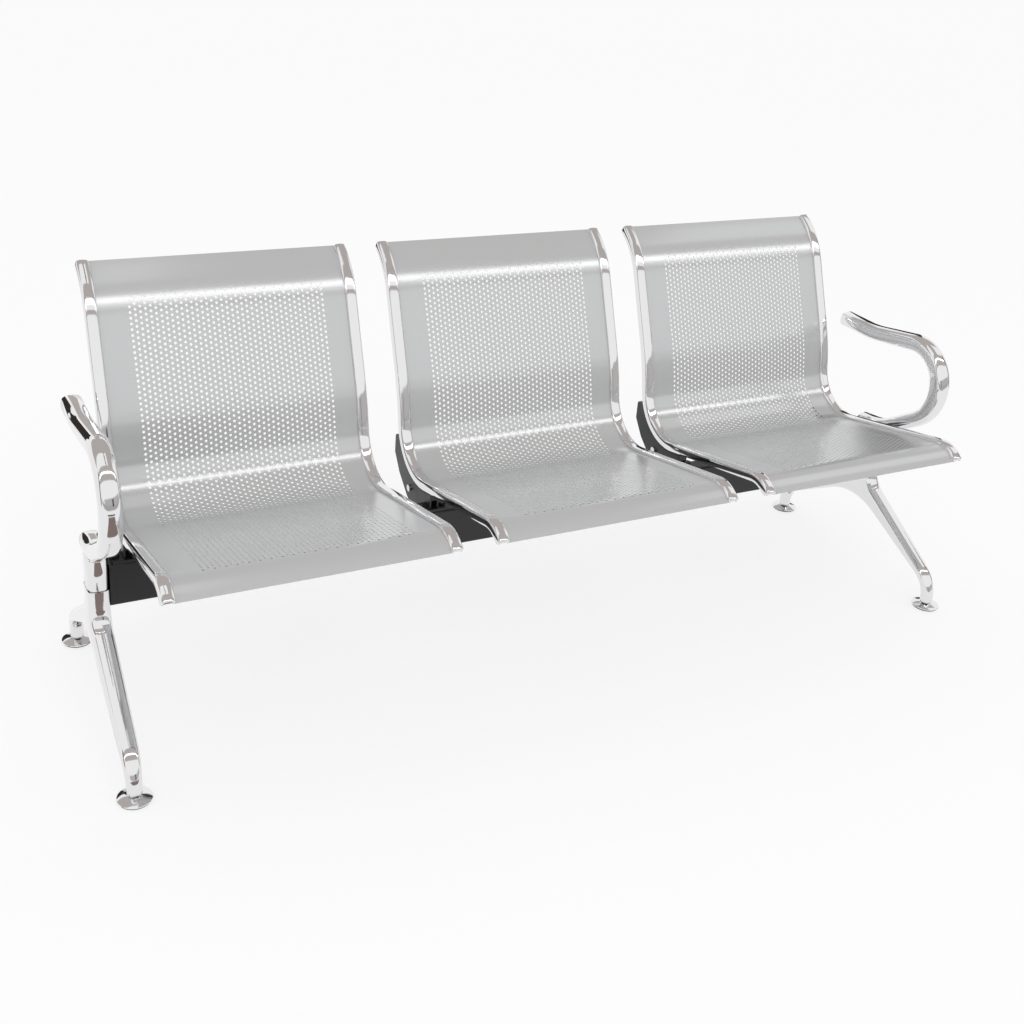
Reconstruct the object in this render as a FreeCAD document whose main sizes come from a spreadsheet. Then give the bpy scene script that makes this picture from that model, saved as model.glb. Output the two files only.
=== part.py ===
import FreeCAD, Part
import math
import os
import Sketcher

# Beam seating: three steel seats on one beam, with an arched leg and an arm at each end.
# +X runs along the beam, -Y is the front, +Z is up. The origin is on the floor, under the
# middle of the beam. All sizes are in millimetres.

Vector = FreeCAD.Vector

# Driving sizes

driving = {
    # seats and their side frames
    "seatPitch": 580,
    "shellWidth": 466,
    "shellSheet": 1.5,
    "shellTuck": 5,
    "frameWidth": 24,
    "frameProud": 7,
    "frameBelow": 15,
    "frameChamfer": 4,
    "frameTipTrim": 3,
    "sheetGap": 0.3,
    # side view of the seat: distances behind the beam and above the floor
    "lipBack": -304.5,
    "lipHeight": 391,
    "crestBack": -274.6,
    "crestHeight": 416.5,
    "crestBend": 60,
    "heelBack": 125,
    "heelHeight": 333,
    "heelBend": 100,
    "lumbarBack": 151.9,
    "lumbarHeight": 487.4,
    "lumbarBend": 500,
    "curlBack": 247,
    "curlHeight": 727,
    "curlBend": 160,
    "crownReach": 54,
    "crownRise": 35,
    # openings in the seat, a plain grid on the pan and one on the back
    "openingWidth": 24,
    "openingLength": 26,
    "openingStepAcross": 48,
    "openingStepAlong": 54,
    "openingStart": 12,
    # beam
    "beamTop": 312.5,
    "beamHeight": 80,
    "beamDepth": 40,
    "beamWall": 2.5,
    "beamCorner": 4,
    # seat brackets
    "bracketWidth": 18,
    "bracketWall": 3,
    "bracketFront": -12,
    "bracketNose": 40,
    "bracketBack": 167,
    "bracketTip": 403,
    "bracketTipRound": 8,
    "bracketShoulder": 362,
    "bracketWaist": 140,
    "bracketWaistHeight": 327,
    "bracketBelly": 98,
    "bracketBellyHeight": 294,
    "bracketSkirt": 262,
    "flangeThick": 5,
    "flangeHalf": 30,
    "flangeReach": 18,
    "flangeCorner": 4,
    "flangeBoltSpread": 22,
    "frameScrewAngle": -62,
    "crossBoltAngle": -73.5,
    "crossBoltDrop": 21.6,
    "seatGap": 0.2,
    "faceGap": 0.1,
    "clearGap": 0.3,
    # legs
    "legPlane": 880,
    "legWidth": 38,
    "legChamfer": 8,
    "legTop": 268,
    "legNeck": 28,
    "legNeckFoot": 206,
    "legNeckFootRear": 224,
    "legNeckRound": 25,
    "footSpread": 256,
    "legEndHalf": 13,
    "legEndWidth": 26,
    "legTaperTop": 110,
    "legEnd": 14.2,
    "legKneeTop": 64,
    "legKneeTopRound": 80,
    "legArchBack": 17,
    "legArchTop": 178,
    "legArchRound": 165,
    "legKneeUnder": 52,
    "legKneeUnderRound": 50,
    # columns between legs and arms
    "tenonLength": 70,
    "tenonFoot": 272,
    "tenonTop": 303,
    "tieSeat": 180,
    "tieRecess": 13,
    # arms: heights are given down from the brow, so that an arm moves as one piece
    "armWidth": 38,
    "armThick": 35,
    "armChamfer": 9,
    "armBrowHeight": 579.5,
    "armFront": -163,
    "armBrowBend": 79,
    "armRestBack": 56,
    "armRestDrop": 30.5,
    "armRestBend": 300,
    "armEndBack": 152,
    "armEndDrop": 28.5,
    "armChinDrop": 147.5,
    "armChinBend": 95,
    "armFootBack": -26,
    "armFootDrop": 233.5,
    "armFootBend": 150,
    "armTailBack": 40,
    "armTailDrop": 240.5,
    "capWall": 5,
    "capDepth": 12,
    "tieBite": 10,
    # levelling feet
    "soleRadius": 28,
    "soleThick": 3,
    "discRadius": 30,
    "discRim": 5,
    "discNeck": 12,
    "discTop": 11,
    "stemRadius": 5,
    "stemTop": 50,
    "runningGap": 0.05,
    "stemWell": 56,
    # screws
    "eightRadius": 4,
    "eightHole": 4.4,
    "eightAcross": 13,
    "eightHead": 5.3,
    "eightNut": 6.5,
    "sixRadius": 3,
    "sixHole": 3.3,
    "sixHeadRadius": 5,
    "sixHead": 5,
    "frameScrewReach": 11,
    "twelveRadius": 6,
    "twelveHole": 6.3,
    "twelveAcross": 19,
    "twelveHead": 8,
    "threadGap": 0.05,
    "buttonRadius": 7,
    "buttonHead": 4.5,
    "endBoltFirst": 15,
    "endBoltSecond": 56,
    "endBoltHeight": 287.5,
    "endBoltReach": 30,
}

document = FreeCAD.newDocument("beam_seating")
sheet = document.addObject("Spreadsheet::Sheet", "Sizes")
for row, (alias, number) in enumerate(driving.items(), start=1):
    sheet.set("A%d" % row, alias)
    sheet.set("B%d" % row, str(number))
    sheet.setAlias("B%d" % row, alias)
document.recompute()


class Size:
    """A number together with the formula on the sheet that gives it."""

    def __init__(self, number, formula):
        self.number = number
        self.formula = formula

    def __add__(self, other):
        other = sized(other)
        return Size(self.number + other.number, "(%s + %s)" % (self.formula, other.formula))

    def __sub__(self, other):
        other = sized(other)
        return Size(self.number - other.number, "(%s - %s)" % (self.formula, other.formula))

    def __mul__(self, other):
        other = sized(other)
        return Size(self.number * other.number, "(%s * %s)" % (self.formula, other.formula))

    def __truediv__(self, other):
        other = sized(other)
        return Size(self.number / other.number, "(%s / %s)" % (self.formula, other.formula))

    def __neg__(self):
        return Size(-self.number, "(-1 * %s)" % self.formula)


def sized(value):
    return value if isinstance(value, Size) else Size(value, "(%s)" % value)


def of(alias):
    return Size(driving[alias], "Sizes.%s" % alias)


def degrees(number):
    return Size(number, "(%s deg)" % number)


def heading(across, up):
    angle = math.degrees(math.atan2(up.number, across.number))
    return Size(angle, "atan2(%s; %s)" % (up.formula, across.formula))


def cosine(angle):
    return Size(math.cos(math.radians(angle.number)), "cos(%s)" % angle.formula)


def sine(angle):
    return Size(math.sin(math.radians(angle.number)), "sin(%s)" % angle.formula)


def tangent(angle):
    return Size(math.tan(math.radians(angle.number)), "tan(%s)" % angle.formula)


def turned_degrees(alias):
    return Size(driving[alias], "(Sizes.%s * 1 deg)" % alias)


def bind(thing, name, size):
    thing.setExpression(name, size.formula)


def put(thing, across=None, back=None, up=None):
    for axis, size in zip("xyz", (across, back, up)):
        if size is not None:
            bind(thing, "Placement.Base." + axis, sized(size))


# Bodies and sketches


def new_body(label):
    body = document.addObject("PartDesign::Body", label)
    body.Label = label
    return body


def origin_plane(body, role):
    return next(plane for plane in body.Origin.OriginFeatures if plane.Role == role)


def new_sketch(body, name, role):
    sketch = body.newObject("Sketcher::SketchObject", name)
    sketch.AttachmentSupport = (origin_plane(body, role), [""])
    sketch.MapMode = "FlatFace"
    return sketch


def tilted_sketch(body, name, across, back, up, tilt):
    """A sketch plane at a point, turned about X from the floor plane."""
    sketch = new_sketch(body, name, "XY_Plane")
    place = Vector(across.number, back.number, up.number)
    sketch.AttachmentOffset = FreeCAD.Placement(place, FreeCAD.Rotation(Vector(1, 0, 0), tilt.number))
    for axis, size in zip("xyz", (across, back, up)):
        bind(sketch, "AttachmentOffset.Base." + axis, size)
    bind(sketch, "AttachmentOffset.Rotation.Angle", tilt)
    return sketch


def fix(sketch, name, kind, arguments, size):
    index = sketch.addConstraint(Sketcher.Constraint(kind, *arguments, size.number))
    sketch.renameConstraint(index, name)
    bind(sketch, "Constraints." + name, size)


def draw_chain(sketch, corners, closed=True):
    """Straight runs through the corners, each corner rounded by its own bend or left sharp."""
    corners = [(sized(u), sized(v), bend if bend is None else sized(bend)) for u, v, bend in corners]
    count = len(corners)
    spots = [Vector(u.number, v.number, 0) for u, v, bend in corners]
    arrive = list(spots)
    leave = list(spots)
    centres = list(spots)
    for i, (u, v, bend) in enumerate(corners):
        if bend is None:
            continue
        before = (spots[i - 1] - spots[i]).normalize()
        after = (spots[(i + 1) % count] - spots[i]).normalize()
        half = before.getAngle(after) / 2
        arrive[i] = spots[i] + before * (bend.number / math.tan(half))
        leave[i] = spots[i] + after * (bend.number / math.tan(half))
        centres[i] = spots[i] + (before + after).normalize() * (bend.number / math.sin(half))
    runs = count if closed else count - 1
    lines = []
    for i in range(runs):
        lines.append(sketch.addGeometry(Part.LineSegment(leave[i], arrive[(i + 1) % count]), False))
    for i, (u, v, bend) in enumerate(corners):
        tag = "c%d" % i
        ends = not closed and i in (0, count - 1)
        coming = lines[i - 1]
        going = lines[i % runs]
        if bend is None:
            point = (coming, 2) if (ends and i > 0) else (going, 1)
            if not ends:
                sketch.addConstraint(Sketcher.Constraint("Coincident", coming, 2, going, 1))
        else:
            left_turn = (spots[i] - spots[i - 1]).cross(spots[(i + 1) % count] - spots[i]).z > 0
            first, last = (arrive[i], leave[i]) if left_turn else (leave[i], arrive[i])
            middle = spots[i] - centres[i]
            middle = centres[i] + middle.normalize() * bend.number
            arc = sketch.addGeometry(Part.Arc(first, middle, last), False)
            corner = sketch.addGeometry(Part.Point(spots[i]), True)
            start, end = (1, 2) if left_turn else (2, 1)
            sketch.addConstraint([
                Sketcher.Constraint("Tangent", coming, 2, arc, start),
                Sketcher.Constraint("Tangent", going, 1, arc, end),
                Sketcher.Constraint("PointOnObject", corner, 1, coming),
                Sketcher.Constraint("PointOnObject", corner, 1, going),
            ])
            fix(sketch, tag + "bend", "Radius", (arc,), bend)
            point = (corner, 1)
        fix(sketch, tag + "across", "DistanceX", (-1, 1) + point, u)
        fix(sketch, tag + "up", "DistanceY", (-1, 1) + point, v)


def draw_box(sketch, left, right, low, high, bend=None):
    draw_chain(sketch, [(left, low, bend), (right, low, bend), (right, high, bend), (left, high, bend)])


def draw_chamfered(sketch, half_across, half_up, chamfer):
    """A box about the middle of the sketch with its four corners cut off."""
    corners = []
    for side, rise in ((-1, -1), (1, -1), (1, 1), (-1, 1)):
        low = (half_across * side, (half_up - chamfer) * rise, None)
        flat = ((half_across - chamfer) * side, half_up * rise, None)
        corners += [low, flat] if side * rise > 0 else [flat, low]
    draw_chain(sketch, corners)


def draw_circles(sketch, centres, radius):
    for i, (u, v) in enumerate(centres):
        u = sized(u)
        v = sized(v)
        circle = sketch.addGeometry(
            Part.Circle(Vector(u.number, v.number, 0), Vector(0, 0, 1), radius.number), False)
        fix(sketch, "r%d" % i, "Radius", (circle,), radius)
        fix(sketch, "x%d" % i, "DistanceX", (-1, 1, circle, 3), u)
        fix(sketch, "y%d" % i, "DistanceY", (-1, 1, circle, 3), v)


def feature(body, kind, name, sketch, length=None, middle=False, backwards=False):
    made = body.newObject("PartDesign::" + kind, name)
    made.Profile = sketch
    if length is not None:
        bind(made, "Length", sized(length))
        made.Midplane = middle
        made.Reversed = backwards
    return made


def swept(body, kind, name, sketch, path):
    made = body.newObject("PartDesign::" + kind, name)
    made.Profile = sketch
    made.Spine = (path, [])
    return made


def turned(body, name, corners):
    """A round piece about the vertical: corners are (radius, height, bend)."""
    sketch = new_sketch(body, name + "_profile", "XZ_Plane")
    draw_chain(sketch, corners)
    made = body.newObject("PartDesign::Revolution", name)
    made.Profile = sketch
    made.ReferenceAxis = (sketch, ["V_Axis"])
    made.Angle = 360
    return made


def bored(body, name, across, back, up, tilt, radius, depth):
    """A round hole whose mouth is at the point and whose way in is opposite to the tilted plane."""
    sketch = tilted_sketch(body, name + "_circle", sized(across), sized(back), sized(up), tilt)
    draw_circles(sketch, [(0, 0)], radius)
    return feature(body, "Pocket", name, sketch, depth)


# Side view of the seat, shared by shells, frames and brackets

seat_line = [
    (of("lipBack"), of("lipHeight"), None),
    (of("crestBack"), of("crestHeight"), of("crestBend")),
    (of("heelBack"), of("heelHeight"), of("heelBend")),
    (of("lumbarBack"), of("lumbarHeight"), of("lumbarBend")),
    (of("curlBack"), of("curlHeight"), of("curlBend")),
    (of("curlBack") + of("crownReach"), of("curlHeight") + of("crownRise"), None),
]
lip_angle = heading(of("crestBack") - of("lipBack"), of("crestHeight") - of("lipHeight"))
pan_angle = heading(of("heelBack") - of("crestBack"), of("heelHeight") - of("crestHeight"))
back_angle = heading(of("lumbarBack") - of("heelBack"), of("lumbarHeight") - of("heelHeight"))
rest_angle = heading(of("curlBack") - of("lumbarBack"), of("curlHeight") - of("lumbarHeight"))

# Side view of the arm

arm_end_up = of("armBrowHeight") - of("armEndDrop")
arm_rest_up = of("armBrowHeight") - of("armRestDrop")
arm_foot_up = of("armBrowHeight") - of("armFootDrop")
arm_tail_up = of("armBrowHeight") - of("armTailDrop")
arm_line = [
    (of("armEndBack"), arm_end_up, None),
    (of("armRestBack"), arm_rest_up, of("armRestBend")),
    (of("armFront"), of("armBrowHeight"), of("armBrowBend")),
    (of("armFront"), of("armBrowHeight") - of("armChinDrop"), of("armChinBend")),
    (of("armFootBack"), arm_foot_up, of("armFootBend")),
    (of("armTailBack"), arm_tail_up, None),
]
arm_angle = heading(of("armRestBack") - of("armEndBack"), arm_rest_up - arm_end_up)
tail_angle = heading(of("armTailBack") - of("armFootBack"), arm_tail_up - arm_foot_up)

quarter = degrees(90)
half_sheet_width = of("shellWidth") / 2 + of("shellTuck")
frame_centre = of("shellWidth") / 2 + of("frameWidth") / 2
frame_half = of("frameWidth") / 2


def seat_path(body):
    path = new_sketch(body, "seat_line", "YZ_Plane")
    draw_chain(path, seat_line, closed=False)
    return path


def seat_section(body, name):
    return tilted_sketch(body, name, sized(0), of("lipBack"), of("lipHeight"), lip_angle + quarter)


def arm_path(body):
    path = new_sketch(body, "arm_line", "YZ_Plane")
    draw_chain(path, arm_line, closed=False)
    return path


def arm_section(body, name):
    return tilted_sketch(body, name, sized(0), of("armEndBack"), arm_end_up, arm_angle + quarter)


def tail_section(body, name):
    return tilted_sketch(body, name, sized(0), of("armTailBack"), arm_tail_up, tail_angle - quarter)


# The screw that holds a bracket to its side frame: a point on the heel bend and the way its head faces

screw_way = turned_degrees("frameScrewAngle")
heel_turn = (back_angle - pan_angle) / 2
heel_reach = of("heelBend") * tangent(heel_turn)
heel_centre_back = of("heelBack") - heel_reach * cosine(pan_angle) - of("heelBend") * sine(pan_angle)
heel_centre_up = of("heelHeight") - heel_reach * sine(pan_angle) + of("heelBend") * cosine(pan_angle)


def from_heel(reach, angle):
    """A point this far from the centre of the heel bend."""
    return heel_centre_back + reach * cosine(angle), heel_centre_up + reach * sine(angle)


def screw_spot(distance):
    """A point on the axis of the frame screw, this far under the seat line."""
    return from_heel(of("heelBend") + distance, screw_way)


nodes = []


def keep(thing):
    nodes.append(thing)
    return thing


# Seat shells: each has a plain grid of openings on its pan and one on its back

opening_columns = 8
opening_rows = 5
crest_reach = of("crestBend") * tangent((lip_angle - pan_angle) / 2)
lumbar_reach = of("lumbarBend") * tangent((back_angle - rest_angle) / 2)


def opening_grid(body, name, back, up, angle):
    """Openings in rows from a point on the seat line, along the line at this angle."""
    sketch = tilted_sketch(body, name + "_outline", sized(0), back, up, angle)
    left = of("openingStepAcross") * (opening_columns - 1) / -2 - of("openingWidth") / 2
    draw_box(sketch, left, left + of("openingWidth"), 0, of("openingLength"))
    hole = feature(body, "Pocket", name, sketch, of("shellSheet") * 20, middle=True)
    grid = body.newObject("PartDesign::MultiTransform", name + "_grid")
    grid.Originals = [hole]
    patterns = []
    for axis, step, number in (("H_Axis", of("openingStepAcross"), opening_columns),
                               ("V_Axis", of("openingStepAlong"), opening_rows)):
        pattern = body.newObject("PartDesign::LinearPattern", name + "_" + axis[0].lower())
        pattern.Direction = (sketch, [axis])
        pattern.Occurrences = number
        bind(pattern, "Length", step * (number - 1))
        patterns.append(pattern)
    grid.Transformations = patterns
    body.Tip = grid


for index, seat in enumerate((-1, 0, 1), start=1):
    shell = new_body("seat_shell_%d" % index)
    section = seat_section(shell, "sheet_section")
    draw_box(section, -half_sheet_width, half_sheet_width, -of("shellSheet"), 0)
    swept(shell, "AdditivePipe", "sheet", section, seat_path(shell))
    run = crest_reach + of("openingStart")
    opening_grid(shell, "pan_openings", of("crestBack") + run * cosine(pan_angle),
                 of("crestHeight") + run * sine(pan_angle), pan_angle)
    run = of("openingStart") - lumbar_reach
    opening_grid(shell, "back_openings", of("lumbarBack") + run * cosine(rest_angle),
                 of("lumbarHeight") + run * sine(rest_angle), rest_angle)
    put(shell, across=of("seatPitch") * seat)
    keep(shell)

# Side frames, each with a groove for the edge of its shell and a tapped hole from below

groove_floor = frame_half - of("shellTuck") - of("sheetGap")
groove_low = -of("shellSheet") - of("sheetGap")

for index, seat in enumerate((-1, 0, 1), start=1):
    for side, hand in ((-1, "left"), (1, "right")):
        frame = new_body("side_frame_%d_%s" % (index, hand))
        section = seat_section(frame, "frame_section")
        inner = frame_half * -side
        outer = frame_half * side
        draw_chain(section, [
            (outer, of("frameProud") - of("frameChamfer"), None),
            (outer - of("frameChamfer") * side, of("frameProud"), None),
            (inner, of("frameProud"), None),
            (inner, of("sheetGap"), None),
            (groove_floor * -side, of("sheetGap"), None),
            (groove_floor * -side, groove_low, None),
            (inner, groove_low, None),
            (inner, -of("frameBelow"), None),
            (outer - of("frameChamfer") * side, -of("frameBelow"), None),
            (outer, of("frameChamfer") - of("frameBelow"), None),
        ])
        swept(frame, "AdditivePipe", "frame_bar", section, seat_path(frame))
        trim = new_sketch(frame, "tip_trim_outline", "YZ_Plane")
        draw_box(trim, of("lipBack") - of("frameBelow"), of("crestBack"),
                 of("lipHeight") - of("frameBelow") * 2, of("lipHeight") - of("frameTipTrim"))
        feature(frame, "Pocket", "tip_trim", trim, of("frameWidth") * 2, middle=True)
        mouth_back, mouth_up = screw_spot(of("frameBelow") + 1)
        bored(frame, "screw_thread", 0, mouth_back, mouth_up, screw_way - quarter,
              of("sixRadius") + of("threadGap"), of("frameScrewReach") + 1)
        put(frame, across=of("seatPitch") * seat + frame_centre * side)
        keep(frame)

# Seat brackets: a channel that follows the frame from below, with a flange on the beam

beam_half = of("beamDepth") / 2
flange_low = of("beamTop") + of("faceGap")
flange_high = flange_low + of("flangeThick")
wall_back = beam_half + of("clearGap")
web_top = of("frameBelow") + of("seatGap")

# The underside of the web: three flats around the heel bend, the middle one under the frame screw
web_low = of("heelBend") + web_top + of("bracketWall")
web_step = (screw_way + quarter) / 2
web_last = screw_way + web_step * 2
tip_low = of("bracketTip") - of("bracketWall")
cross_bolt_back, cross_bolt_up = from_heel(web_low + of("crossBoltDrop"), turned_degrees("crossBoltAngle"))
web_corners = [
    from_heel(web_low / cosine(web_step), web_step - quarter),
    from_heel(web_low / cosine(web_step), screw_way + web_step),
    (heel_centre_back + (web_low - sine(web_last) * (tip_low - heel_centre_up)) / cosine(web_last), tip_low),
]


def bracket(label):
    blank = new_body(label + "_blank")
    outline = new_sketch(blank, "side_outline", "YZ_Plane")
    draw_chain(outline, [
        (of("bracketFront"), flange_low, None),
        (of("bracketFront"), flange_low + of("bracketNose"), None),
        (of("heelBack") - 15, of("bracketTip"), None),
        (of("bracketBack"), of("bracketTip"), of("bracketTipRound")),
        (of("bracketBack"), of("bracketShoulder"), None),
        (of("bracketWaist"), of("bracketWaistHeight"), None),
        (of("bracketBelly"), of("bracketBellyHeight"), None),
        (wall_back, of("bracketSkirt"), None),
        (wall_back, flange_low, None),
    ])
    feature(blank, "Pad", "walls", outline, of("bracketWidth"), middle=True)
    section = seat_section(blank, "trim_section")
    draw_box(section, -frame_half, frame_half, -web_top, of("heelBend") * 0.6)
    swept(blank, "SubtractivePipe", "trim", section, seat_path(blank))
    flange = tilted_sketch(blank, "flange_outline", sized(0), sized(0), flange_low, degrees(0))
    draw_box(flange, -of("flangeHalf"), of("flangeHalf"), -of("flangeReach"), of("flangeReach"),
             of("flangeCorner"))
    feature(blank, "Pad", "flange", flange, of("flangeThick"))
    mouth_back, mouth_up = screw_spot(web_top + 20)
    bored(blank, "screw_hole", 0, mouth_back, mouth_up, screw_way - quarter, of("sixHole"), 24)
    cross = new_sketch(blank, "cross_circle", "YZ_Plane")
    draw_circles(cross, [(cross_bolt_back, cross_bolt_up)], of("eightHole"))
    feature(blank, "Pocket", "cross_hole", cross, of("bracketWidth") * 2, middle=True)
    holes = tilted_sketch(blank, "flange_circles", sized(0), sized(0), flange_high, degrees(0))
    draw_circles(holes, [(-of("flangeBoltSpread"), 0), (of("flangeBoltSpread"), 0)], of("eightHole"))
    feature(blank, "Pocket", "flange_holes", holes, of("flangeThick") + 1)

    hollow = new_body(label + "_hollow")
    inside = new_sketch(hollow, "inside_outline", "YZ_Plane")
    draw_chain(inside, [
        (of("bracketFront") - 8, flange_high, None),
        (of("bracketFront") - 8, heel_centre_up - web_low, None),
    ] + [(back, up, None) for back, up in web_corners] + [
        (of("bracketBack") + 10, tip_low, None),
        (of("bracketBack") + 10, of("bracketSkirt") - 10, None),
        (wall_back, of("bracketSkirt") - 10, None),
        (wall_back, flange_high, None),
    ])
    feature(hollow, "Pad", "inside", inside, of("bracketWidth") - of("bracketWall") * 2, middle=True)

    cut = document.addObject("Part::Cut", label)
    cut.Label = label
    cut.Base = blank
    cut.Tool = hollow
    return cut


bracket_places = []
for index, seat in enumerate((-1, 0, 1), start=1):
    for side, hand in ((-1, "left"), (1, "right")):
        where = of("seatPitch") * seat + frame_centre * side
        bracket_places.append((where, side))
        made = bracket("seat_bracket_%d_%s" % (index, hand))
        put(made, across=where)
        keep(made)

# Beam

beam_low = of("beamTop") - of("beamHeight")
column_face = of("legPlane") - of("legWidth") / 2
beam_end = column_face - of("clearGap")
end_bolt_places = [
    (beam_end - of(alias)) * side for side in (-1, 1) for alias in ("endBoltFirst", "endBoltSecond")
]

beam = new_body("beam")
outside = new_sketch(beam, "tube_outside", "YZ_Plane")
draw_box(outside, -beam_half, beam_half, beam_low, of("beamTop"), of("beamCorner"))
feature(beam, "Pad", "tube", outside, beam_end * 2, middle=True)
inside = new_sketch(beam, "tube_inside", "YZ_Plane")
draw_box(inside, of("beamWall") - beam_half, beam_half - of("beamWall"),
         beam_low + of("beamWall"), of("beamTop") - of("beamWall"), of("beamCorner") - of("beamWall"))
feature(beam, "Pocket", "bore", inside, beam_end * 2 + 20, middle=True)
top_holes = tilted_sketch(beam, "top_circles", sized(0), sized(0), of("beamTop"), degrees(0))
draw_circles(top_holes, [
    (where + of("flangeBoltSpread") * way, 0) for where, side in bracket_places for way in (-1, 1)
], of("eightRadius") + of("threadGap"))
feature(beam, "Pocket", "top_holes", top_holes, of("beamWall") + 1)
rear_holes = tilted_sketch(beam, "rear_circles", sized(0), beam_half, of("endBoltHeight"), degrees(-90))
draw_circles(rear_holes, [(where, 0) for where in end_bolt_places], of("eightHole"))
feature(beam, "Pocket", "rear_holes", rear_holes, of("beamWall") + 1)
keep(beam)

# Legs: an arch padded across its width, with chamfered long edges and a tapped bore for each foot

leg_half = of("legWidth") / 2
leg_outer = of("footSpread") + of("legEndHalf")
leg_inner = of("footSpread") - of("legEndHalf")


def half_leg(neck_foot):
    """Half of the arch in side view, from the neck down the outside and up the inside."""
    return [
        (of("legNeck"), of("legTop"), None),
        (of("legNeck"), neck_foot, of("legNeckRound")),
        (leg_outer, of("legKneeTop"), of("legKneeTopRound")),
        (leg_outer, of("legEnd"), None),
        (leg_inner, of("legEnd"), None),
        (leg_inner, of("legKneeUnder"), of("legKneeUnderRound")),
    ]


leg_outline = half_leg(of("legNeckFootRear"))
leg_outline.append((of("legArchBack"), of("legArchTop"), of("legArchRound")))
leg_outline += [(-back, up, bend) for back, up, bend in reversed(half_leg(of("legNeckFoot")))]

for side, hand in ((-1, "left"), (1, "right")):
    leg = new_body("leg_" + hand)
    outline = new_sketch(leg, "arch_outline", "YZ_Plane")
    draw_chain(outline, leg_outline)
    pad = feature(leg, "Pad", "arch", outline, of("legWidth"), middle=True)
    document.recompute()
    long_edges = []
    level_cuts = (driving["legTop"], driving["legEnd"])
    for number, edge in enumerate(pad.Shape.Edges, start=1):
        ends = [vertex.Point for vertex in edge.Vertexes]
        same_side = ends[0].x * ends[-1].x > 0
        level = any(all(abs(end.z - cut) < 1e-4 for end in ends) for cut in level_cuts)
        if same_side and not level:
            long_edges.append("Edge%d" % number)
    chamfer = leg.newObject("PartDesign::Chamfer", "long_edge_chamfer")
    chamfer.Base = (pad, long_edges)
    bind(chamfer, "Size", of("legChamfer"))
    document.recompute()
    for way in (-1, 1):
        wedge = new_sketch(leg, "taper_outline_%d" % (way + 2), "XZ_Plane")
        draw_chain(wedge, [
            (of("legEndWidth") / 2 * way, of("legEnd"), None),
            (of("legEndWidth") / 2 * way, of("legEnd") - 5, None),
            (of("legWidth") * way, of("legEnd") - 5, None),
            (of("legWidth") * way, of("legTaperTop"), None),
            (leg_half * way, of("legTaperTop"), None),
        ])
        feature(leg, "Pocket", "taper_%d" % (way + 2), wedge, leg_outer * 3, middle=True)
    bored(leg, "tie_hole", 0, 0, of("tieSeat") - 1, degrees(180), of("twelveHole"),
          of("legTop") - of("tieSeat") + 2)
    bored(leg, "tie_recess", 0, 0, of("tieSeat") / 2, degrees(180), of("tieRecess"), of("tieSeat") / 2)
    for way, end in ((-1, "front"), (1, "rear")):
        foot = of("footSpread") * way
        bored(leg, end + "_stem_bore", 0, foot, of("legEnd") - 1, degrees(180),
              of("stemRadius") + of("runningGap"), of("stemWell") - of("legEnd") + 1)
    put(leg, across=of("legPlane") * side)
    keep(leg)

# Columns: a post between leg and arm, with a tenon that fills the end of the beam

for side, hand in ((-1, "left"), (1, "right")):
    column = new_body("column_" + hand)
    post = tilted_sketch(column, "post_outline", sized(0), sized(0), of("legTop") + of("faceGap"), degrees(0))
    draw_chamfered(post, leg_half, of("legNeck"), of("legChamfer"))
    feature(column, "Pad", "post", post, arm_tail_up + of("armThick") / 2 - of("legTop"))
    trim = arm_section(column, "arm_trim_section")
    draw_box(trim, -of("armWidth"), of("armWidth"), -of("armThick") / 2 - of("seatGap"), of("armThick") * 1.5)
    swept(column, "SubtractivePipe", "arm_trim", trim, arm_path(column))
    tenon_half = beam_half - of("beamWall") - of("clearGap")
    tenon = tilted_sketch(column, "tenon_outline", sized(0), sized(0), of("tenonFoot"), degrees(0))
    root = (leg_half - 2) * -side
    tip = (leg_half + of("tenonLength")) * -side
    draw_box(tenon, root, tip, -tenon_half, tenon_half)
    feature(column, "Pad", "tenon", tenon, of("tenonTop") - of("tenonFoot"))
    bored(column, "tie_hole", 0, 0, of("legTop") - 1, degrees(180), of("twelveHole"), arm_tail_up - of("legTop"))
    threads = tilted_sketch(column, "thread_circles", sized(0), beam_half, of("endBoltHeight"), degrees(-90))
    draw_circles(threads, [
        ((leg_half + of("clearGap") + of(alias)) * -side, 0) for alias in ("endBoltFirst", "endBoltSecond")
    ], of("eightRadius") + of("threadGap"))
    feature(column, "Pocket", "threads", threads, of("endBoltReach") + 1)
    put(column, across=of("legPlane") * side)
    keep(column)

# Arms and the caps in their rear ends

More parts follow.
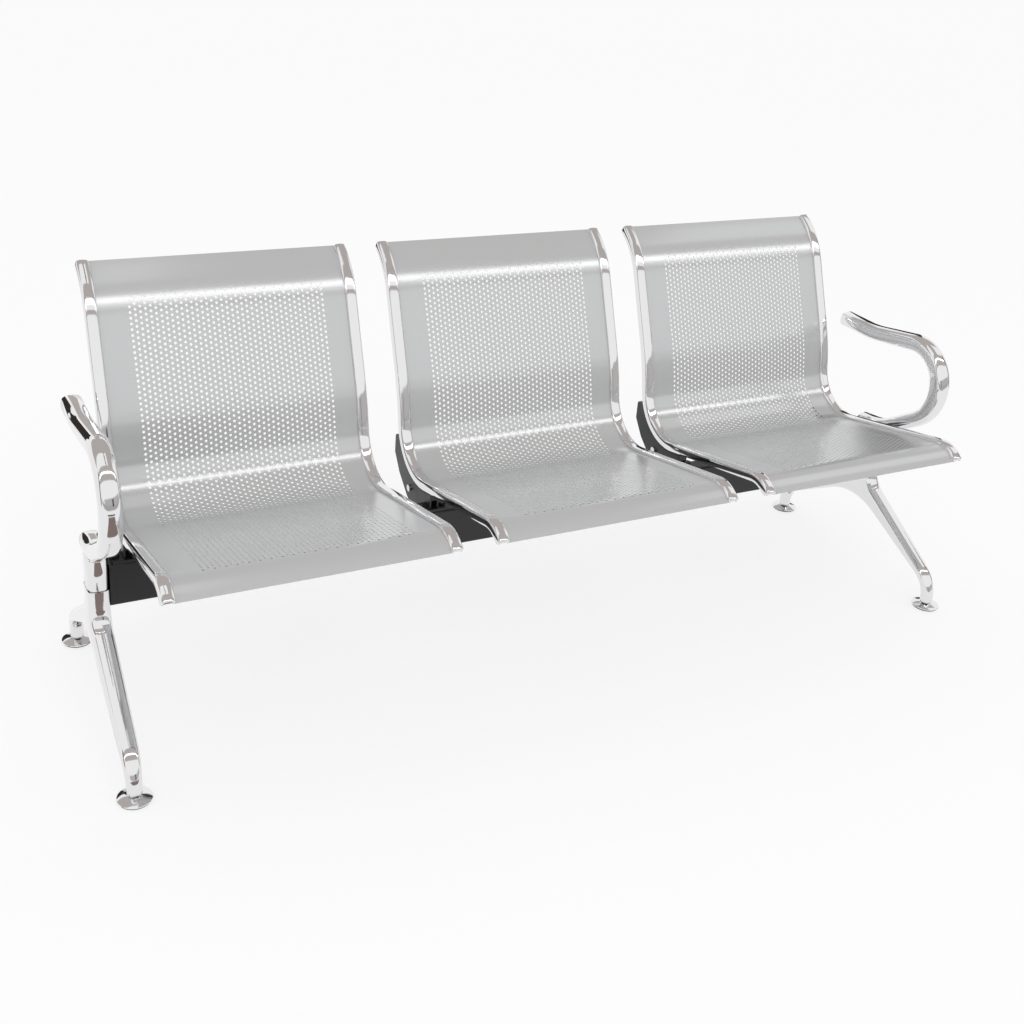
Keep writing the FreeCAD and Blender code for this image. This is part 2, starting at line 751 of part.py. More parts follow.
for side, hand in ((-1, "left"), (1, "right")):
    arm = new_body("arm_" + hand)
    section = arm_section(arm, "arm_section")
    draw_chamfered(section, of("armWidth") / 2, of("armThick") / 2, of("armChamfer"))
    swept(arm, "AdditivePipe", "arm_bar", section, arm_path(arm))
    recess = arm_section(arm, "cap_recess_outline")
    draw_box(recess, of("capWall") - of("armWidth") / 2, of("armWidth") / 2 - of("capWall"),
             of("capWall") - of("armThick") / 2, of("armThick") / 2 - of("capWall"))
    feature(arm, "Pocket", "cap_recess", recess, of("capDepth"))
    hollow = tail_section(arm, "tail_recess_outline")
    draw_box(hollow, of("capWall") - of("armWidth") / 2, of("armWidth") / 2 - of("capWall"),
             of("capWall") - of("armThick") / 2, of("armThick") / 2 - of("capWall"))
    feature(arm, "Pocket", "tail_recess", hollow, of("capDepth"))
    bored(arm, "tie_thread", 0, 0, arm_tail_up - of("armThick"), degrees(180),
          of("twelveRadius") + of("threadGap"), of("armThick") + of("tieBite") + 1)
    put(arm, across=of("legPlane") * side)
    keep(arm)

    cap = new_body("arm_cap_" + hand)
    plug = arm_section(cap, "plug_outline")
    wall = of("capWall") + of("seatGap")
    draw_box(plug, wall - of("armWidth") / 2, of("armWidth") / 2 - wall,
             wall - of("armThick") / 2, of("armThick") / 2 - wall)
    feature(cap, "Pad", "plug", plug, of("capDepth") - of("clearGap"), backwards=True)
    put(cap, across=of("legPlane") * side)
    keep(cap)

# Levelling feet: a sole, a disc, and a stem that screws up into the leg

for side, hand in ((-1, "left"), (1, "right")):
    for way, end in ((-1, "front"), (1, "rear")):
        ending = "_%s_%s" % (end, hand)
        sole = new_body("foot_sole" + ending)
        turned(sole, "sole", [
            (0, 0, None),
            (of("soleRadius"), 0, None),
            (of("soleRadius"), of("soleThick"), None),
            (0, of("soleThick"), None),
        ])
        disc = new_body("foot_disc" + ending)
        turned(disc, "disc", [
            (of("stemRadius") + of("faceGap"), of("soleThick"), None),
            (of("discRadius"), of("soleThick"), None),
            (of("discRadius"), of("discRim"), None),
            (of("discNeck"), of("discTop"), None),
            (of("stemRadius") + of("faceGap"), of("discTop"), None),
        ])
        stem = new_body("foot_stem" + ending)
        turned(stem, "stem", [
            (0, of("soleThick"), None),
            (of("stemRadius"), of("soleThick"), None),
            (of("stemRadius"), of("stemTop"), None),
            (0, of("stemTop"), None),
        ])
        for piece in (sole, disc, stem):
            put(piece, across=of("legPlane") * side, back=of("footSpread") * way)
            keep(piece)

# Screws and nuts; the axis of each points the way its head faces


def cylinder(name, radius, low, high):
    made = document.addObject("Part::Cylinder", name)
    bind(made, "Radius", sized(radius))
    bind(made, "Height", high - low)
    bind(made, "Placement.Base.z", low)
    return made


def hexagon(name, across_flats, low, high):
    made = document.addObject("Part::Prism", name)
    made.Polygon = 6
    bind(made, "Circumradius", across_flats / (cosine(degrees(30)) * 2))
    bind(made, "Height", high - low)
    bind(made, "Placement.Base.z", low)
    return made


def joined(name, first, second, kind):
    made = document.addObject("Part::" + kind, name)
    made.Base = first
    made.Tool = second
    return made


def aim(thing, across, back, up, axis, angle):
    thing.Placement = FreeCAD.Placement(Vector(0, 0, 0), FreeCAD.Rotation(axis, 0))
    turn = FreeCAD.Rotation(axis, angle.number)
    thing.Placement = FreeCAD.Placement(Vector(across.number, back.number, up.number), turn)
    put(thing, across, back, up)
    bind(thing, "Placement.Rotation.Angle", angle)


def group(label, members):
    made = document.addObject("Part::Compound", label)
    made.Label = label
    made.Links = members
    return keep(made)


def hex_bolt(name, across_flats, head, radius, reach):
    return joined(name, hexagon(name + "_head", across_flats, sized(0), head),
                  cylinder(name + "_shank", radius, -reach, head / 2), "Fuse")


def round_bolt(name, head_radius, head, radius, reach):
    return joined(name, cylinder(name + "_head", head_radius, sized(0), head),
                  cylinder(name + "_shank", radius, -reach, head / 2), "Fuse")


def nut(name, across_flats, high, radius):
    return joined(name, hexagon(name + "_hex", across_flats, sized(0), high),
                  cylinder(name + "_hole", radius + of("threadGap"), sized(-1), high + 1), "Cut")


upright = Vector(1, 0, 0)
sideways = Vector(0, 1, 0)
flat = degrees(0)

flange_bolts = []
frame_screw_set = []
cross_bolts = []
cross_nuts = []
bolt_reach = of("flangeThick") + of("beamWall") + 6
channel_half = of("bracketWidth") / 2

for number, (where, side) in enumerate(bracket_places, start=1):
    for way in (-1, 1):
        tag = "%d_%d" % (number, way + 2)
        spot = where + of("flangeBoltSpread") * way
        bolt = hex_bolt("flange_bolt_" + tag, of("eightAcross"), of("eightHead"), of("eightRadius"), bolt_reach)
        aim(bolt, spot, sized(0), flange_high, upright, flat)
        flange_bolts.append(bolt)
    screw = round_bolt("frame_screw_%d" % number, of("sixHeadRadius"), of("sixHead"), of("sixRadius"),
                       web_top + of("bracketWall") - of("frameBelow") + of("frameScrewReach") - 1)
    seat_back, seat_up = screw_spot(web_top + of("bracketWall") + of("seatGap"))
    aim(screw, where, seat_back, seat_up, upright, screw_way - quarter)
    frame_screw_set.append(screw)
    bolt = round_bolt("cross_bolt_%d" % number, of("buttonRadius"), of("buttonHead"), of("eightRadius"),
                      of("bracketWidth") + of("eightNut") + 2)
    face = where + (channel_half + of("faceGap")) * side
    aim(bolt, face, cross_bolt_back, cross_bolt_up, sideways, degrees(90 * side))
    cross_bolts.append(bolt)
    cross_nut = nut("cross_nut_%d" % number, of("eightAcross"), of("eightNut"), of("eightRadius"))
    face = where - (channel_half + of("faceGap")) * side
    aim(cross_nut, face, cross_bolt_back, cross_bolt_up, sideways, degrees(-90 * side))
    cross_nuts.append(cross_nut)

end_bolts = []
for number, where in enumerate(end_bolt_places, start=1):
    bolt = hex_bolt("end_bolt_%d" % number, of("eightAcross"), of("eightHead"), of("eightRadius"),
                    of("endBoltReach") - 1)
    aim(bolt, where, beam_half + of("faceGap"), of("endBoltHeight"), upright, degrees(-90))
    end_bolts.append(bolt)

tie_bolts = []
for side, hand in ((-1, "left"), (1, "right")):
    bolt = hex_bolt("tie_bolt_" + hand, of("twelveAcross"), of("twelveHead"), of("twelveRadius"),
                    arm_tail_up + of("tieBite") - of("tieSeat"))
    aim(bolt, of("legPlane") * side, sized(0), of("tieSeat") - of("faceGap"), upright, degrees(180))
    tie_bolts.append(bolt)

group("flange_bolts", flange_bolts)
group("frame_screws", frame_screw_set)
group("cross_bolts", cross_bolts)
group("cross_nuts", cross_nuts)
group("beam_end_bolts", end_bolts)
group("tie_bolts", tie_bolts)

# Check every object, then write one file for each sub-part

document.recompute()
faults = []
for thing in document.Objects:
    if "Invalid" in thing.State or "Error" in thing.State:
        faults.append("%s is %s" % (thing.Label, thing.State))
for node in nodes:
    if node.Shape.isNull() or not node.Shape.isValid():
        faults.append("%s has no valid shape" % node.Label)
if faults:
    raise RuntimeError("; ".join(faults))

os.makedirs("parts", exist_ok=True)
for node in nodes:
    node.Shape.exportStep("parts/%s.step" % node.Label)
print("wrote %d parts" % len(nodes))
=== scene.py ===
import math

import bmesh
import bpy
from mathutils import Matrix, Vector


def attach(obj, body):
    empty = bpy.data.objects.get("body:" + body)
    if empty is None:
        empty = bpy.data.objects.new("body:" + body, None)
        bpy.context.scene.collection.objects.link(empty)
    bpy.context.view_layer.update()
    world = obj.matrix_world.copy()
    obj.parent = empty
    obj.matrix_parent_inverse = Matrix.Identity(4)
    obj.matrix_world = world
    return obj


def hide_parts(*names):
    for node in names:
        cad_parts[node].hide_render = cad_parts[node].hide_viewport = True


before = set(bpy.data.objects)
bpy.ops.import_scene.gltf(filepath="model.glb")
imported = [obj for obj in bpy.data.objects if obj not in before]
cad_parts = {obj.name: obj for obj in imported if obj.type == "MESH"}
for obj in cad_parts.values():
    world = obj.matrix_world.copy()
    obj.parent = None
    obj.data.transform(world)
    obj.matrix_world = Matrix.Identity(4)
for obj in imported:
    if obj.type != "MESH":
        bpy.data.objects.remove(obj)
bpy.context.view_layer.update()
print("frame loaded")

# shared forms

seatLine = [  # side view of pan and back: y, z, bend radius, in metres
    (-0.3045, 0.391, 0),
    (-0.2746, 0.4165, 0.060),
    (0.125, 0.333, 0.100),
    (0.1519, 0.4874, 0.500),
    (0.247, 0.727, 0.160),
    (0.301, 0.762, 0),
]
armLine = [
    (0.152, 0.551, 0),
    (0.056, 0.549, 0.300),
    (-0.163, 0.5795, 0.079),
    (-0.163, 0.432, 0.095),
    (-0.026, 0.346, 0.150),
    (0.040, 0.339, 0),
]
seatCentres = (-0.580, 0.0, 0.580)
barCentre = 0.245
legPlane = 0.880
footSpread = 0.256


def followLine(corners, stepDegrees=2.5):  # points and headings along straight runs and bends
    spots = [Vector((y, z)) for y, z, bend in corners]
    out = []
    for i, (y, z, bend) in enumerate(corners):
        if i == 0 or i == len(corners) - 1:
            toward = spots[1] - spots[0] if i == 0 else spots[i] - spots[i - 1]
            out.append((spots[i], math.atan2(toward.y, toward.x)))
            continue
        coming = (spots[i] - spots[i - 1]).normalized()
        going = (spots[i + 1] - spots[i]).normalized()
        turn = math.atan2(coming.x * going.y - coming.y * going.x, coming.dot(going))
        reach = bend * math.tan(abs(turn) / 2)
        start = spots[i] - coming * reach
        heading = math.atan2(coming.y, coming.x)
        steps = max(2, math.ceil(abs(math.degrees(turn)) / stepDegrees))
        sign = 1 if turn > 0 else -1
        centre = start + Vector((-coming.y, coming.x)) * bend * sign
        for k in range(steps + 1):
            angle = heading + turn * k / steps
            spot = centre + Vector((math.sin(angle), -math.cos(angle))) * bend * sign
            out.append((spot, angle))
    return out


ovalPoints = 48


def softOval(halfWide, low, high, power, inset=0.0):
    # points of a superellipse: power 2 is an ellipse, a higher power comes nearer to a box
    middle = (low + high) / 2
    points = []
    for k in range(ovalPoints):
        turn = 2 * math.pi * (k + 0.5) / ovalPoints
        sideways = math.cos(turn)
        upright = math.sin(turn)
        across = (halfWide - inset) * math.copysign(abs(sideways) ** (2 / power), sideways)
        upward = (high - middle - inset) * math.copysign(abs(upright) ** (2 / power), upright)
        points.append((across, middle + upward))
    return points


def meshPiece(name, points, faces, sharp=35):
    mesh = bpy.data.meshes.new(name)
    mesh.from_pydata([tuple(p) for p in points], [], faces)
    mesh.validate()
    bm = bmesh.new()
    bm.from_mesh(mesh)
    bmesh.ops.remove_doubles(bm, verts=bm.verts, dist=1e-6)
    bmesh.ops.recalc_face_normals(bm, faces=bm.faces)
    for face in bm.faces:
        face.smooth = True
    for edge in bm.edges:
        if len(edge.link_faces) == 2:
            edge.smooth = edge.calc_face_angle(0) < math.radians(sharp)
    bm.to_mesh(mesh)
    bm.free()
    piece = bpy.data.objects.new(name, mesh)
    bpy.context.scene.collection.objects.link(piece)
    return piece


def skinRings(rings):  # quads between rings of equal length, ends closed
    points = [p for ring in rings for p in ring]
    count = len(rings[0])
    faces = []
    for r in range(len(rings) - 1):
        for k in range(count):
            a = r * count + k
            b = r * count + (k + 1) % count
            faces.append((a, b, b + count, a + count))
    faces.append(tuple(reversed(range(count))))
    faces.append(tuple((len(rings) - 1) * count + k for k in range(count)))
    return points, faces


def sweepSection(corners, section, centreX, starts, ends):
    # section(inset, share) gives (across, outward) points; starts and ends are (inset, along) rings
    run = followLine(corners)
    lengths = [0.0]
    for (a, _), (b, _) in zip(run, run[1:]):
        lengths.append(lengths[-1] + (b - a).length)
    rings = []

    def ring(k, inset, along):
        spot, angle = run[k]
        normal = Vector((-math.sin(angle), math.cos(angle)))
        ahead = Vector((math.cos(angle), math.sin(angle)))
        out = []
        for across, outward in section(inset, lengths[k] / lengths[-1]):
            p = spot + normal * outward + ahead * along
            out.append((centreX + across, p.x, p.y))
        return out

    for inset, along in starts:
        rings.append(ring(0, inset, along))
    for k in range(1, len(run) - 1):
        rings.append(ring(k, 0.0, 0.0))
    for inset, along in reversed(ends):
        rings.append(ring(len(run) - 1, inset, -along))
    return skinRings(rings)


def roundedEnd(radius, steps=5):  # rings of a softly rounded closed end
    return [(radius * (1 - math.sin(math.radians(90 * k / steps))),
             radius * (1 - math.cos(math.radians(90 * k / steps)))) for k in range(steps + 1)]


def openEnd(wall, depth, lip):  # rings of a hollow end, from the bottom of the recess out over its rim
    rings = [(wall, depth), (wall, lip), (wall - lip * 0.7, lip * 0.3), (wall - lip * 1.5, 0.0)]
    return rings + [(lip, 0.0), (lip * 0.3, lip * 0.3), (0.0, lip)]


def insetOutline(outline, depth, keepHeights):  # an outline drawn in by a depth; some heights stay
    count = len(outline)
    out = []
    for k in range(count):
        p, q, r = outline[k - 1], outline[k], outline[(k + 1) % count]
        first = (q - p).normalized()
        second = (r - q).normalized()
        n1 = Vector((-first.y, first.x))
        n2 = Vector((-second.y, second.x))
        moved = q + (n1 + n2) / max(0.3, 1 + n1.dot(n2)) * depth
        for height in keepHeights:
            if abs(q.y - height) < 1e-6:
                moved.y = height
        out.append(moved)
    return out


def roundedPlate(outline, halfWide, spread, radius, keepHeights, squeeze, centreX, steps=8):
    # a thick plate in side view with long edges rounded over spread and radius; squeeze(height) narrows it
    rings = []
    for side in (-1, 1):
        order = range(steps, -1, -1) if side < 0 else range(steps + 1)
        for k in order:
            a = math.radians(90 * k / steps)
            x = (halfWide - spread + spread * math.sin(a)) * side
            inner = insetOutline(outline, radius * (1 - math.cos(a)), keepHeights)
            rings.append([(centreX + x * squeeze(p.y), p.x, p.y) for p in inner])
    return skinRings(rings)


def turnProfile(profile, centre, steps=64):  # a closed round solid: profile is (radius, height)
    around = [2 * math.pi * k / steps for k in range(steps)]
    rings = []
    for radius, height in profile:
        rings.append([(centre[0] + radius * math.cos(turn), centre[1] + radius * math.sin(turn),
                       centre[2] + height) for turn in around])
    return skinRings(rings)


# shader groups

def link(tree, source, target):
    tree.links.new(source, target)


def buildSurfaceGroup():
    # smudge mask and fine bump height, for plated and painted metal alike
    group = bpy.data.node_groups.new("surfaceVariation", "ShaderNodeTree")
    inputs = {"Scale": 6.0, "Low": 0.05, "High": 0.12, "Grain Scale": 900.0, "Grain Share": 0.5}
    for name, value in inputs.items():
        socket = group.interface.new_socket(name=name, in_out="INPUT", socket_type="NodeSocketFloat")
        socket.default_value = value
    group.interface.new_socket(name="Roughness", in_out="OUTPUT", socket_type="NodeSocketFloat")
    group.interface.new_socket(name="Height", in_out="OUTPUT", socket_type="NodeSocketFloat")
    nodes = group.nodes
    entry = nodes.new("NodeGroupInput")
    leave = nodes.new("NodeGroupOutput")
    where = nodes.new("ShaderNodeTexCoord")
    broad = nodes.new("ShaderNodeTexNoise")
    broad.inputs["Detail"].default_value = 4.0
    fine = nodes.new("ShaderNodeTexNoise")
    fine.inputs["Detail"].default_value = 2.0
    spread = nodes.new("ShaderNodeMapRange")
    mixed = nodes.new("ShaderNodeMix")
    link(group, where.outputs["Object"], broad.inputs["Vector"])
    link(group, where.outputs["Object"], fine.inputs["Vector"])
    link(group, entry.outputs["Scale"], broad.inputs["Scale"])
    link(group, entry.outputs["Grain Scale"], fine.inputs["Scale"])
    link(group, broad.outputs["Fac"], spread.inputs["Value"])
    spread.inputs["From Min"].default_value = 0.3
    spread.inputs["From Max"].default_value = 0.7
    link(group, entry.outputs["Low"], spread.inputs["To Min"])
    link(group, entry.outputs["High"], spread.inputs["To Max"])
    link(group, entry.outputs["Grain Share"], mixed.inputs["Factor"])
    link(group, broad.outputs["Fac"], mixed.inputs["A"])
    link(group, fine.outputs["Fac"], mixed.inputs["B"])
    link(group, spread.outputs["Result"], leave.inputs["Roughness"])
    link(group, mixed.outputs["Result"], leave.inputs["Height"])
    return group


surfaceGroup = buildSurfaceGroup()


def buildMaterial(name, look):
    material = bpy.data.materials.new(name)
    material.use_nodes = True
    tree = material.node_tree
    shader = tree.nodes["Principled BSDF"]
    shader.inputs["Base Color"].default_value = (*look["colour"], 1.0)
    shader.inputs["Metallic"].default_value = look.get("metallic", 0.0)
    vary = tree.nodes.new("ShaderNodeGroup")
    vary.node_tree = surfaceGroup
    vary.inputs["Scale"].default_value = look.get("scale", 6.0)
    vary.inputs["Low"].default_value = look["rough"][0]
    vary.inputs["High"].default_value = look["rough"][1]
    vary.inputs["Grain Scale"].default_value = look.get("grainScale", 900.0)
    vary.inputs["Grain Share"].default_value = look.get("grainShare", 0.5)
    link(tree, vary.outputs["Roughness"], shader.inputs["Roughness"])
    bump = tree.nodes.new("ShaderNodeBump")
    bump.inputs["Strength"].default_value = look.get("bump", 0.05)
    bump.inputs["Distance"].default_value = look.get("bumpDepth", 0.001)
    link(tree, vary.outputs["Height"], bump.inputs["Height"])
    link(tree, bump.outputs["Normal"], shader.inputs["Normal"])
    return material


finishes = {
    "silverPaint": {"colour": (0.56, 0.565, 0.57), "metallic": 0.38, "rough": (0.17, 0.20), "scale": 3.0,
                    "grainScale": 2600.0, "grainShare": 0.8, "bump": 0.03, "bumpDepth": 0.0002},
    "brightPlate": {"colour": (0.80, 0.80, 0.81), "metallic": 1.0, "rough": (0.05, 0.09), "scale": 9.0,
                    "grainScale": 34.0, "grainShare": 0.6, "bump": 0.10, "bumpDepth": 0.002},
    "blackCoat": {"colour": (0.012, 0.012, 0.013), "rough": (0.34, 0.44), "scale": 12.0,
                  "grainScale": 1500.0, "grainShare": 0.9, "bump": 0.12, "bumpDepth": 0.0004},
    "blackPlastic": {"colour": (0.015, 0.015, 0.016), "rough": (0.42, 0.52), "bump": 0.05},
    "blackRubber": {"colour": (0.020, 0.020, 0.021), "rough": (0.62, 0.75), "bump": 0.1},
    "zincPlate": {"colour": (0.72, 0.72, 0.70), "metallic": 1.0, "rough": (0.16, 0.26), "scale": 60.0,
                  "bump": 0.03},
}
materials = {name: buildMaterial(name, look) for name, look in finishes.items()}
print("materials built")

# perforated shells

shellSettings = {
    "Sheet Width": 0.476,
    "Thickness": 0.0015,
    "Columns": 51,
    "Rows": 168,
    "First Column": 6,
    "Last Column": 45,
    "First Row": 10,
    "Last Row": 152,
    "Hole Radius": 0.0027,
    "Hole Sides": 8,
}
mergeDistance = 0.0001


def socketName(tree, name):
    for item in tree.interface.items_tree:
        if item.item_type == "SOCKET" and item.in_out == "INPUT" and item.name == name:
            return item.identifier
    raise KeyError(name)


def mathNode(tree, operation, first, second=None):
    node = tree.nodes.new("ShaderNodeMath")
    node.operation = operation
    for index, value in enumerate((first, second)):
        if value is None:
            continue
        if isinstance(value, (int, float)):
            node.inputs[index].default_value = value
        else:
            tree.links.new(value, node.inputs[index])
    return node.outputs[0]


def combine(tree, x=0.0, y=0.0, z=0.0):
    node = tree.nodes.new("ShaderNodeCombineXYZ")
    for index, value in enumerate((x, y, z)):
        if isinstance(value, (int, float)):
            node.inputs[index].default_value = value
        else:
            tree.links.new(value, node.inputs[index])
    return node.outputs[0]


def buildShellTree(material):
    # a flat grid gets a staggered field of hole tiles, is bent along the seat line and given its thickness
    tree = bpy.data.node_groups.new("perforatedShell", "GeometryNodeTree")
    face = tree.interface
    face.new_socket(name="Seat Line", in_out="INPUT", socket_type="NodeSocketGeometry")
    for name, value in shellSettings.items():
        kind = "NodeSocketInt" if isinstance(value, int) else "NodeSocketFloat"
        face.new_socket(name=name, in_out="INPUT", socket_type=kind).default_value = value
    face.new_socket(name="Centre", in_out="INPUT", socket_type="NodeSocketFloat")
    face.new_socket(name="Shell", in_out="OUTPUT", socket_type="NodeSocketGeometry")
    add = tree.nodes.new
    join = tree.links.new
    entry = add("NodeGroupInput")
    leave = add("NodeGroupOutput")

    line = add("GeometryNodeMeshToCurve")
    join(entry.outputs["Seat Line"], line.inputs["Mesh"])
    length = add("GeometryNodeCurveLength")
    join(line.outputs["Curve"], length.inputs["Curve"])

    cellWide = mathNode(tree, "DIVIDE", entry.outputs["Sheet Width"], entry.outputs["Columns"])
    cellHigh = mathNode(tree, "DIVIDE", length.outputs["Length"], entry.outputs["Rows"])

    grid = add("GeometryNodeMeshGrid")
    join(entry.outputs["Sheet Width"], grid.inputs["Size X"])
    join(length.outputs["Length"], grid.inputs["Size Y"])
    join(mathNode(tree, "ADD", entry.outputs["Columns"], 1), grid.inputs["Vertices X"])
    join(mathNode(tree, "ADD", entry.outputs["Rows"], 1), grid.inputs["Vertices Y"])

    # which cells lie in the holed field; each hole takes two cells, staggered from column to column
    where = add("GeometryNodeInputPosition")
    parts = add("ShaderNodeSeparateXYZ")
    join(where.outputs[0], parts.inputs[0])
    halfWidth = mathNode(tree, "MULTIPLY", entry.outputs["Sheet Width"], 0.5)
    halfLength = mathNode(tree, "MULTIPLY", length.outputs["Length"], 0.5)
    fromLeft = mathNode(tree, "ADD", parts.outputs[0], halfWidth)
    fromFront = mathNode(tree, "ADD", parts.outputs[1], halfLength)
    column = mathNode(tree, "FLOOR", mathNode(tree, "DIVIDE", fromLeft, cellWide))
    row = mathNode(tree, "FLOOR", mathNode(tree, "DIVIDE", fromFront, cellHigh))
    odd = mathNode(tree, "MODULO", column, 2.0)
    shifted = mathNode(tree, "SUBTRACT", mathNode(tree, "SUBTRACT", row, odd), entry.outputs["First Row"])
    span = mathNode(tree, "SUBTRACT", entry.outputs["Last Row"], entry.outputs["First Row"])
    beforeFirst = mathNode(tree, "SUBTRACT", entry.outputs["First Column"], 0.5)
    afterLast = mathNode(tree, "ADD", entry.outputs["Last Column"], 0.5)
    tests = [
        mathNode(tree, "GREATER_THAN", column, beforeFirst),
        mathNode(tree, "LESS_THAN", column, afterLast),
        mathNode(tree, "GREATER_THAN", shifted, -0.5),
        mathNode(tree, "LESS_THAN", shifted, mathNode(tree, "SUBTRACT", span, 0.5)),
    ]
    inField = tests[0]
    for test in tests[1:]:
        inField = mathNode(tree, "MULTIPLY", inField, test)
    lower = mathNode(tree, "LESS_THAN", mathNode(tree, "MODULO", shifted, 2.0), 0.5)
    tileHere = mathNode(tree, "MULTIPLY", inField, lower)

    # the margin keeps its plain cells
    plain = add("GeometryNodeDeleteGeometry")
    plain.domain = "FACE"
    join(grid.outputs["Mesh"], plain.inputs["Geometry"])
    join(inField, plain.inputs["Selection"])

    # one tile with a round hole stands at each pair of cells
    spots = add("GeometryNodeMeshToPoints")
    spots.mode = "FACES"
    join(grid.outputs["Mesh"], spots.inputs["Mesh"])
    join(tileHere, spots.inputs["Selection"])
    raised = add("GeometryNodeSetPosition")
    join(spots.outputs["Points"], raised.inputs["Geometry"])
    join(combine(tree, 0.0, mathNode(tree, "MULTIPLY", cellHigh, 0.5), 0.0), raised.inputs["Offset"])

    rimGrid = add("GeometryNodeMeshGrid")
    join(cellWide, rimGrid.inputs["Size X"])
    join(mathNode(tree, "MULTIPLY", cellHigh, 2.0), rimGrid.inputs["Size Y"])
    rimGrid.inputs["Vertices X"].default_value = 2
    rimGrid.inputs["Vertices Y"].default_value = 3
    neighbours = add("GeometryNodeInputMeshEdgeNeighbors")
    outer = mathNode(tree, "LESS_THAN", neighbours.outputs["Face Count"], 1.5)
    rim = add("GeometryNodeMeshToCurve")
    join(rimGrid.outputs["Mesh"], rim.inputs["Mesh"])
    join(outer, rim.inputs["Selection"])
    hole = add("GeometryNodeCurvePrimitiveCircle")
    join(entry.outputs["Hole Sides"], hole.inputs["Resolution"])
    join(entry.outputs["Hole Radius"], hole.inputs["Radius"])
    turnHole = add("GeometryNodeTransform")
    join(hole.outputs["Curve"], turnHole.inputs["Geometry"])
    turnHole.inputs["Rotation"].default_value = (0.0, 0.0, math.radians(22.5))
    both = add("GeometryNodeJoinGeometry")
    join(rim.outputs["Curve"], both.inputs["Geometry"])
    join(turnHole.outputs["Geometry"], both.inputs["Geometry"])
    tile = add("GeometryNodeFillCurve")
    join(both.outputs["Geometry"], tile.inputs["Curve"])
    tiles = add("GeometryNodeInstanceOnPoints")
    join(raised.outputs["Geometry"], tiles.inputs["Points"])
    join(tile.outputs["Mesh"], tiles.inputs["Instance"])
    realTiles = add("GeometryNodeRealizeInstances")
    join(tiles.outputs["Instances"], realTiles.inputs["Geometry"])
    sheet = add("GeometryNodeJoinGeometry")
    join(plain.outputs["Geometry"], sheet.inputs["Geometry"])
    join(realTiles.outputs["Geometry"], sheet.inputs["Geometry"])
    merged = add("GeometryNodeMergeByDistance")
    join(sheet.outputs["Geometry"], merged.inputs["Geometry"])
    merged.inputs["Distance"].default_value = mergeDistance

    # the flat sheet is bent along the seat line
    sample = add("GeometryNodeSampleCurve")
    sample.mode = "LENGTH"
    join(line.outputs["Curve"], sample.inputs["Curves"])
    join(mathNode(tree, "ADD", parts.outputs[1], halfLength), sample.inputs["Length"])
    onLine = add("ShaderNodeSeparateXYZ")
    join(sample.outputs["Position"], onLine.inputs[0])
    outward = add("ShaderNodeVectorMath")
    outward.operation = "CROSS_PRODUCT"
    outward.inputs[0].default_value = (1.0, 0.0, 0.0)
    join(sample.outputs["Tangent"], outward.inputs[1])
    unit = add("ShaderNodeVectorMath")
    unit.operation = "NORMALIZE"
    join(outward.outputs[0], unit.inputs[0])
    keepOut = add("GeometryNodeCaptureAttribute")
    keepOut.capture_items.new("VECTOR", "Outward")
    join(merged.outputs["Geometry"], keepOut.inputs["Geometry"])
    join(unit.outputs[0], keepOut.inputs["Outward"])
    bent = add("GeometryNodeSetPosition")
    join(keepOut.outputs["Geometry"], bent.inputs["Geometry"])
    across = mathNode(tree, "ADD", parts.outputs[0], entry.outputs["Centre"])
    join(combine(tree, across, onLine.outputs[1], onLine.outputs[2]), bent.inputs["Position"])

    # the thickness goes down from the seat line
    thicken = add("GeometryNodeExtrudeMesh")
    thicken.mode = "FACES"
    join(bent.outputs["Geometry"], thicken.inputs["Mesh"])
    thicken.inputs["Individual"].default_value = False
    join(keepOut.outputs["Outward"], thicken.inputs["Offset"])
    join(mathNode(tree, "MULTIPLY", entry.outputs["Thickness"], -1.0), thicken.inputs["Offset Scale"])
    solid = add("GeometryNodeJoinGeometry")
    join(thicken.outputs["Mesh"], solid.inputs["Geometry"])
    join(bent.outputs["Geometry"], solid.inputs["Geometry"])
    closed = add("GeometryNodeMergeByDistance")
    join(solid.outputs["Geometry"], closed.inputs["Geometry"])
    closed.inputs["Distance"].default_value = mergeDistance
    real = add("GeometryNodeRealizeInstances")
    join(closed.outputs["Geometry"], real.inputs["Geometry"])
    paint = add("GeometryNodeSetMaterial")
    paint.inputs["Material"].default_value = material
    join(real.outputs["Geometry"], paint.inputs["Geometry"])
    join(paint.outputs["Geometry"], leave.inputs["Shell"])
    return tree


def bakeNodes(piece, sharp=40):  # the modifier's result as a plain mesh with clean normals
    shown = piece.evaluated_get(bpy.context.evaluated_depsgraph_get())
    mesh = bpy.data.meshes.new_from_object(shown)
    piece.modifiers.clear()
    old = piece.data
    piece.data = mesh
    mesh.name = piece.name
    bpy.data.meshes.remove(old)
    bm = bmesh.new()
    bm.from_mesh(mesh)
    bmesh.ops.recalc_face_normals(bm, faces=bm.faces)
    for face in bm.faces:
        face.smooth = True
    for edge in bm.edges:
        if len(edge.link_faces) == 2:
            edge.smooth = edge.calc_face_angle(0) < math.radians(sharp)
    openEdges = sum(1 for edge in bm.edges if len(edge.link_faces) != 2)
    bm.to_mesh(mesh)
    bm.free()
    mesh.calc_loop_triangles()
    print(piece.name, "triangles", len(mesh.loop_triangles), "open edges", openEdges)
    return piece


